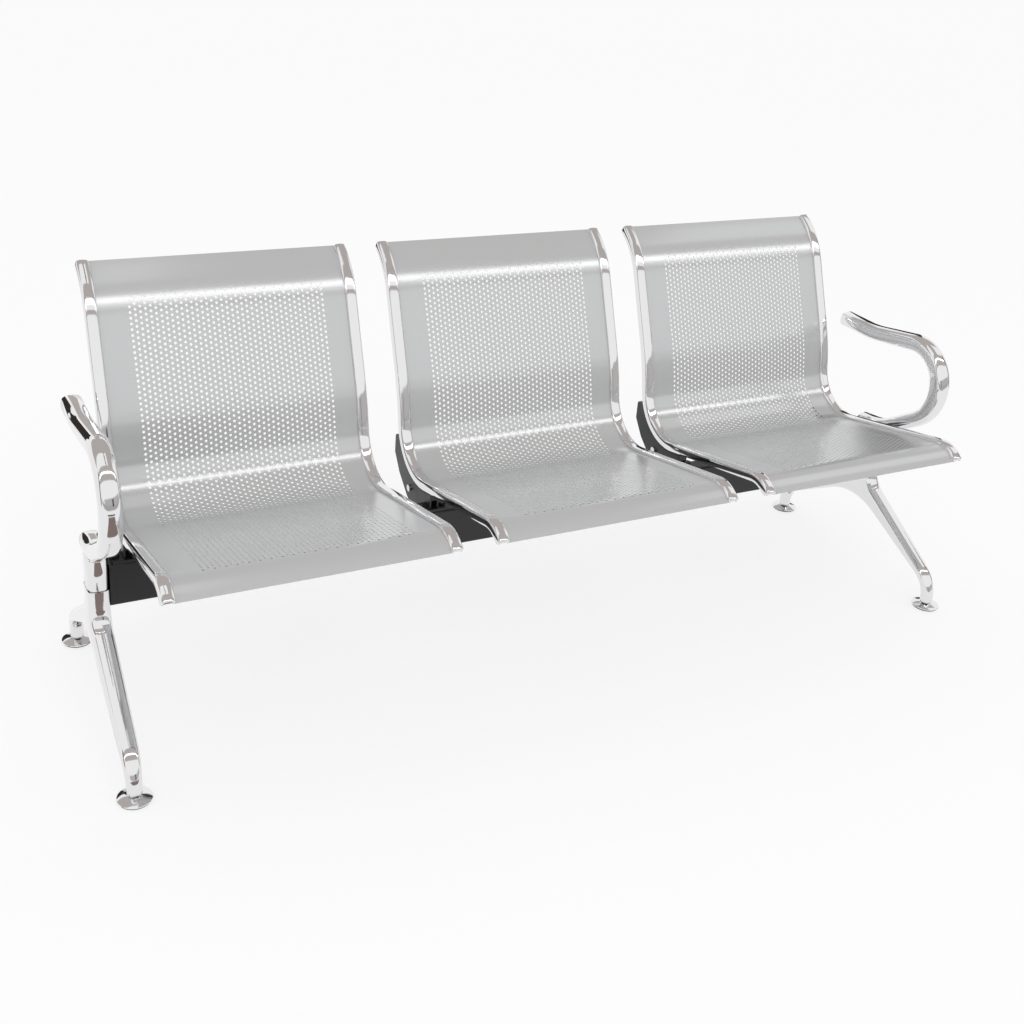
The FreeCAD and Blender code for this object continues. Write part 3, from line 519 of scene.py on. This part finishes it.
shellTree = buildShellTree(materials["silverPaint"])
for number, centre in enumerate(seatCentres, 1):
    run = followLine(seatLine)
    mesh = bpy.data.meshes.new("seatLine")
    steps = [(k, k + 1) for k in range(len(run) - 1)]
    mesh.from_pydata([(0.0, spot.x, spot.y) for spot, angle in run], steps, [])
    shell = bpy.data.objects.new("perforatedShell%d" % number, mesh)
    bpy.context.scene.collection.objects.link(shell)
    modifier = shell.modifiers.new("perforatedShell", "NODES")
    modifier.node_group = shellTree
    for name, value in shellSettings.items():
        modifier[socketName(shellTree, name)] = value
    modifier[socketName(shellTree, "Centre")] = centre
    bakeNodes(shell)
    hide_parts("seat_shell_%d" % number)
    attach(shell, "bench")
print("shells perforated")

# side frames

barSettings = {"halfWide": 0.012, "below": 0.015, "proud": 0.007, "power": 3.4, "endRound": 0.004,
               "tipFloor": 0.3885, "tipBack": -0.2746, "tipSquash": 0.06}


def barSection(inset, share):
    s = barSettings
    return softOval(s["halfWide"], -s["below"], s["proud"], s["power"], inset)


def buildBar(number, side, hand):
    s = barSettings
    ends = roundedEnd(s["endRound"])
    centre = seatCentres[number - 1] + side * barCentre
    points, faces = sweepSection(seatLine, barSection, centre, ends, ends)
    shaped = []
    for x, y, z in points:  # the tip is flat under the sheet's lip
        if y < s["tipBack"] and z < s["tipFloor"]:
            z = s["tipFloor"] - (s["tipFloor"] - z) * s["tipSquash"]
        shaped.append((x, y, z))
    bar = meshPiece("sideBar%d%s" % (number, hand.title()), shaped, faces)
    bar.data.materials.append(materials["brightPlate"])
    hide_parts("side_frame_%d_%s" % (number, hand))
    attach(bar, "bench")


for number in (1, 2, 3):
    for side, hand in ((-1, "left"), (1, "right")):
        buildBar(number, side, hand)
print("side frames swept")

# arms

armSettings = {"halfWide": 0.019, "halfThick": 0.0165, "brow": 0.006, "browShare": 0.48, "browSpread": 0.22,
               "power": 2.7, "wall": 0.004, "recess": 0.012, "lip": 0.0012,
               "plugGap": 0.0003, "plugDepth": 0.0005}


def armSection(inset, share):
    s = armSettings
    swell = s["brow"] * math.exp(-((share - s["browShare"]) / s["browSpread"]) ** 2)
    return softOval(s["halfWide"], -s["halfThick"] - swell, s["halfThick"], s["power"], inset)


def buildArm(side, hand):
    s = armSettings
    hollow = openEnd(s["wall"], s["recess"], s["lip"])
    points, faces = sweepSection(armLine, armSection, side * legPlane, hollow, hollow)
    arm = meshPiece("arm" + hand.title(), points, faces)
    arm.data.materials.append(materials["brightPlate"])
    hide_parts("arm_%s" % hand)
    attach(arm, "bench")
    gap = s["wall"] + s["plugGap"]
    plugRings = []
    for depth in (s["plugDepth"], s["recess"] - s["plugGap"]):
        ring = sweepSection(armLine, armSection, side * legPlane, [(gap, depth)], [])[0][:ovalPoints]
        plugRings.append(ring)
    points, faces = skinRings(plugRings)
    plug = meshPiece("armPlug" + hand.title(), points, faces)
    plug.data.materials.append(materials["blackPlastic"])
    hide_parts("arm_cap_%s" % hand)
    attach(plug, "bench")


for side, hand in ((-1, "left"), (1, "right")):
    buildArm(side, hand)
print("arms swept")

# legs and columns

legSettings = {"halfWide": 0.019, "spread": 0.016, "radius": 0.0118, "top": 0.268, "floor": 0.0142,
               "neck": 0.028, "columnPower": 3.0, "seam": 0.0006,
               "neckFootFront": 0.206, "neckFootRear": 0.224, "neckRound": 0.045, "endHalf": 0.013,
               "kneeTop": 0.064, "kneeTopRound": 0.080, "archBack": 0.017, "archTop": 0.178,
               "archRound": 0.165, "kneeUnder": 0.052, "kneeUnderRound": 0.050, "footShare": 0.68,
               "taperTop": 0.125, "columnTop": 0.3335}


def legOutline(s):
    outer = footSpread + s["endHalf"]
    inner = footSpread - s["endHalf"]

    def half(neckFoot):
        return [(s["neck"], s["top"], 0), (s["neck"], neckFoot, s["neckRound"]),
                (outer, s["kneeTop"], s["kneeTopRound"]), (outer, s["floor"], 0),
                (inner, s["floor"], 0), (inner, s["kneeUnder"], s["kneeUnderRound"])]

    rear = half(s["neckFootRear"])
    front = [(-y, z, bend) for y, z, bend in reversed(half(s["neckFootFront"]))]
    chain = rear + [(s["archBack"], s["archTop"], s["archRound"])] + front
    parts = [chain[:4], chain[4:9], chain[9:]]
    spots = []
    for part in parts:
        spots += [spot for spot, angle in followLine(part, 5)]
    return list(reversed(spots))


def legSqueeze(height):  # the leg narrows towards its foot
    s = legSettings
    share = min(1.0, max(0.0, (height - s["floor"]) / (s["taperTop"] - s["floor"])))
    return s["footShare"] + (1 - s["footShare"]) * share * share * (3 - 2 * share)  # an even, smooth taper


def buildLeg(side, hand):
    s = legSettings
    outline = legOutline(s)
    keepHeights = (s["top"], s["floor"])
    points, faces = roundedPlate(outline, s["halfWide"], s["spread"], s["radius"], keepHeights,
                                 legSqueeze, side * legPlane)
    leg = meshPiece("leg" + hand.title(), points, faces)
    leg.data.materials.append(materials["brightPlate"])
    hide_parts("leg_%s" % hand)
    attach(leg, "bench")


columnFoot = [(0.0030, 0.0), (0.0030, 0.0012), (0.0004, 0.0016), (0.0, 0.0024)]  # inset, height over the seam
columnHead = [(0.0, 0.006), (0.0006, 0.003), (0.002, 0.0008), (0.004, 0.0)]  # inset, depth under the top


def buildColumn(side, hand):
    s = legSettings
    low = s["top"] + s["seam"]
    levels = [(inset, low + rise) for inset, rise in columnFoot]
    levels += [(inset, s["columnTop"] - drop) for inset, drop in columnHead]
    rings = []
    for inset, height in levels:
        section = softOval(s["halfWide"], -s["neck"], s["neck"], s["columnPower"], inset)
        rings.append([(side * legPlane + x, y, height) for x, y in section])
    points, faces = skinRings(rings)
    column = meshPiece("column" + hand.title(), points, faces)
    column.data.materials.append(materials["brightPlate"])
    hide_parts("column_%s" % hand)
    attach(column, "bench")


for side, hand in ((-1, "left"), (1, "right")):
    buildLeg(side, hand)
    buildColumn(side, hand)
print("legs and columns built")

# levelling feet

# radius and height of each ring
discProfile = [(0.0053, 0.0032), (0.0285, 0.0032), (0.0296, 0.0036), (0.0299, 0.0045), (0.0294, 0.0053),
               (0.0270, 0.0064), (0.0230, 0.0077), (0.0190, 0.0088), (0.0150, 0.0098), (0.0125, 0.0107),
               (0.0120, 0.0110), (0.0053, 0.0110)]
soleProfile = [(0.0005, 0.0), (0.0265, 0.0), (0.0277, 0.0007), (0.0279, 0.0015), (0.0279, 0.0030),
               (0.0005, 0.0030)]

for side, hand in ((-1, "left"), (1, "right")):
    for way, end in ((-1, "front"), (1, "rear")):
        place = (side * legPlane, way * footSpread, 0.0)
        ending = "%s_%s" % (end, hand)
        for kind, profile, finish, slotName in (
                ("disc", discProfile, "brightPlate", "chrome_disc"),
                ("sole", soleProfile, "blackRubber", "black_rubber")):
            points, faces = turnProfile(profile, place)
            piece = meshPiece("foot%s%s%s" % (kind.title(), end.title(), hand.title()), points, faces, 30)
            piece.data.materials.append(materials[finish])
            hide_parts("foot_%s_%s" % (kind, ending))
            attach(piece, "foot_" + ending)
print("levelling feet turned")

# carried-over pieces

nodeFinish = {
    "beam": "blackCoat",
    "seat_bracket": "blackCoat",
    "foot_stem": "zincPlate",
    "flange_bolts": "blackCoat",
    "frame_screws": "zincPlate",
    "cross_bolts": "zincPlate",
    "cross_nuts": "zincPlate",
    "beam_end_bolts": "blackCoat",
    "tie_bolts": "zincPlate",
}
for nodeName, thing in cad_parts.items():
    for start, finish in nodeFinish.items():
        if nodeName.startswith(start):
            if not thing.material_slots:
                thing.data.materials.append(None)
            for materialSlot in thing.material_slots:
                materialSlot.material = materials[finish]
print("CAD pieces given their finishes")

# studio

studio = {"floorHalf": 30.0, "floorColour": (0.90, 0.90, 0.90), "floorRough": 0.9, "floorShine": 0.1,
          "floorGlow": 0.72, "worldLight": 0.95}


def stageCard(name, corners, material, reflectionOnly=True):
    mesh = bpy.data.meshes.new(name)
    mesh.from_pydata(corners, [], [tuple(range(len(corners)))])
    card = bpy.data.objects.new(name, mesh)
    bpy.context.scene.collection.objects.link(card)
    card.data.materials.append(material)
    if reflectionOnly:
        card.visible_camera = False
        card.visible_diffuse = False
        card.visible_shadow = False
        card.visible_transmission = False


def glowMaterial(name, colour, strength):  # a flat card that only glows
    material = bpy.data.materials.new(name)
    material.use_nodes = True
    tree = material.node_tree
    tree.nodes.clear()
    glow = tree.nodes.new("ShaderNodeEmission")
    out = tree.nodes.new("ShaderNodeOutputMaterial")
    glow.inputs["Color"].default_value = (*colour, 1.0)
    glow.inputs["Strength"].default_value = strength
    link(tree, glow.outputs[0], out.inputs["Surface"])
    return material


def seenRays(tree):  # 1 for rays from the camera, in reflections and through glass
    path = tree.nodes.new("ShaderNodeLightPath")
    through = mathNode(tree, "MAXIMUM", path.outputs["Is Glossy Ray"], path.outputs["Is Transmission Ray"])
    return mathNode(tree, "MAXIMUM", path.outputs["Is Camera Ray"], through)


# the floor is pale and matt; where it is seen, part of it glows, so the shadows stay but are light
floorMaterial = bpy.data.materials.new("paleFloor")
floorMaterial.use_nodes = True
floorTree = floorMaterial.node_tree
floorShader = floorTree.nodes["Principled BSDF"]
floorShader.inputs["Base Color"].default_value = (*studio["floorColour"], 1.0)
floorShader.inputs["Roughness"].default_value = studio["floorRough"]
floorShader.inputs["Specular IOR Level"].default_value = studio["floorShine"]
floorGlow = floorTree.nodes.new("ShaderNodeEmission")
floorMix = floorTree.nodes.new("ShaderNodeMixShader")
glowShare = mathNode(floorTree, "MULTIPLY", seenRays(floorTree), studio["floorGlow"])
link(floorTree, glowShare, floorMix.inputs[0])
link(floorTree, floorShader.outputs[0], floorMix.inputs[1])
link(floorTree, floorGlow.outputs[0], floorMix.inputs[2])
link(floorTree, floorMix.outputs[0], floorTree.nodes["Material Output"].inputs["Surface"])
half = studio["floorHalf"]
stageCard("studioFloor", [(-half, -half, 0), (half, -half, 0), (half, half, 0), (-half, half, 0)],
          floorMaterial, reflectionOnly=False)

world = bpy.data.worlds.new("studioWorld")
bpy.context.scene.world = world
world.use_nodes = True
worldTree = world.node_tree
backdrop = worldTree.nodes["Background"]
backdrop.inputs["Color"].default_value = (1.0, 1.0, 1.0, 1.0)
level = worldTree.nodes.new("ShaderNodeMapRange")
link(worldTree, seenRays(worldTree), level.inputs["Value"])
level.inputs["To Min"].default_value = studio["worldLight"]
level.inputs["To Max"].default_value = 1.0
link(worldTree, level.outputs["Result"], backdrop.inputs["Strength"])

# what the bright parts mirror: the cards show in reflections only
glows = {  # colour and strength
    "ceilingGlow": ((0.50, 0.46, 0.44), 1.0),
    "stripGlow": ((1.0, 1.0, 1.0), 3.6),
    "wallGlow": ((0.52, 0.51, 0.50), 1.0),
    "floorFarGlow": ((0.45, 0.44, 0.43), 1.0),
    "brownGlow": ((0.24, 0.19, 0.175), 1.0),
    "darkGlow": ((0.035, 0.030, 0.028), 1.0),
}
levelCards = {  # x from and to, y from and to, height, glow
    "ceilingFront": ((-9, 9), (-4.2, -1.3), 4.6, "ceilingGlow"),
    "ceilingMiddle": ((0.15, 3.0), (-1.3, 0.8), 4.6, "ceilingGlow"),
    "ceilingBack": ((-9, 6), (0.8, 6.0), 4.6, "ceilingGlow"),
    "ceilingLine": ((-0.30, -0.20), (-1.3, 0.8), 4.5, "darkGlow"),
    "strip": ((-6, 6), (-1.26, -0.90), 2.0, "stripGlow"),
    "floorFar": ((-20, 20), (-20, -2.4), 0.004, "floorFarGlow"),
    "brownFloorLeft": ((-1.05, -0.60), (-1.22, -0.42), 0.005, "brownGlow"),
    "darkFloorLeft": ((-1.20, -0.50), (-1.50, -1.32), 0.005, "darkGlow"),
    "lipShade": ((-6, 6), (-0.76, -0.54), 1.2, "ceilingGlow"),
}
standingCards = {  # turn in degrees (0 is in front, + towards +X), distance, width, foot, top, glow
    "greyRear": (180, 6.0, 0.9, 0.8, 4.6, "ceilingGlow"),
    "farWall": (14, 12.0, 30.0, 0.0, 2.85, "wallGlow"),
    "darkFront": (4.4, 5.8, 0.45, 0.0, 1.45, "darkGlow"),
    "darkLeft": (-82, 3.2, 0.5, 0.0, 2.0, "brownGlow"),
    "darkRearLeft": (-153, 3.2, 1.1, 0.0, 1.5, "darkGlow"),
    "brownRight": (78, 3.2, 0.6, 0.0, 2.3, "brownGlow"),
    "darkRearRight": (125, 3.4, 0.4, 0.0, 2.4, "darkGlow"),
}
glowing = {name: glowMaterial(name, colour, strength) for name, (colour, strength) in glows.items()}

for name, (xs, ys, height, glow) in levelCards.items():
    corners = [(xs[0], ys[0], height), (xs[1], ys[0], height), (xs[1], ys[1], height), (xs[0], ys[1], height)]
    stageCard(name, corners, glowing[glow])

for name, (turnDegrees, distance, width, low, high, glow) in standingCards.items():
    turn = math.radians(turnDegrees)
    centre = Vector((math.sin(turn), -math.cos(turn), 0.0)) * distance
    along = Vector((math.cos(turn), math.sin(turn), 0.0)) * width / 2
    left = centre - along
    right = centre + along
    corners = [(left.x, left.y, low), (right.x, right.y, low)]
    corners += [(right.x, right.y, high), (left.x, left.y, high)]
    stageCard(name, corners, glowing[glow])

keySettings = {"width": 4.0, "depth": 2.5, "power": 40.0, "place": (-1.2, -3.4, 4.2), "aim": (0.0, 0.0, 0.4)}
keyLight = bpy.data.lights.new("softKey", "AREA")
keyLight.shape = "RECTANGLE"
keyLight.size = keySettings["width"]
keyLight.size_y = keySettings["depth"]
keyLight.energy = keySettings["power"]
key = bpy.data.objects.new("softKey", keyLight)
key.location = keySettings["place"]
towards = Vector(keySettings["aim"]) - Vector(keySettings["place"])
key.rotation_euler = towards.to_track_quat("-Z", "Y").to_euler()
key.visible_glossy = False
bpy.context.scene.collection.objects.link(key)

# camera

cameraSettings = {
    "place": (-1.2171, -2.0564, 1.4770),
    "yaw": 28.95,
    "pitch": 22.48,
    "roll": 4.53,
    "lens": 45.893,
    "sensorWidth": 36.0,
    "shiftX": -0.00166,
    "shiftY": -0.10244,
}


def placeCamera(s):
    yaw, pitch, roll = (math.radians(s[key]) for key in ("yaw", "pitch", "roll"))
    ahead = Vector((math.sin(yaw) * math.cos(pitch), math.cos(yaw) * math.cos(pitch), -math.sin(pitch)))
    right = Vector((math.cos(yaw), -math.sin(yaw), 0.0))
    up = right.cross(ahead)
    rolledRight = right * math.cos(roll) + up * math.sin(roll)
    rolledUp = up * math.cos(roll) - right * math.sin(roll)
    turn = Matrix((rolledRight, rolledUp, -ahead)).transposed()
    data = bpy.data.cameras.new("photoCamera")
    data.lens = s["lens"]
    data.sensor_width = s["sensorWidth"]
    data.shift_x = s["shiftX"]
    data.shift_y = s["shiftY"]
    camera = bpy.data.objects.new("photoCamera", data)
    camera.matrix_world = Matrix.Translation(Vector(s["place"])) @ turn.to_4x4()
    bpy.context.scene.collection.objects.link(camera)
    bpy.context.scene.camera = camera


placeCamera(cameraSettings)
bpy.context.scene.view_settings.view_transform = "Standard"
print("studio and camera set")
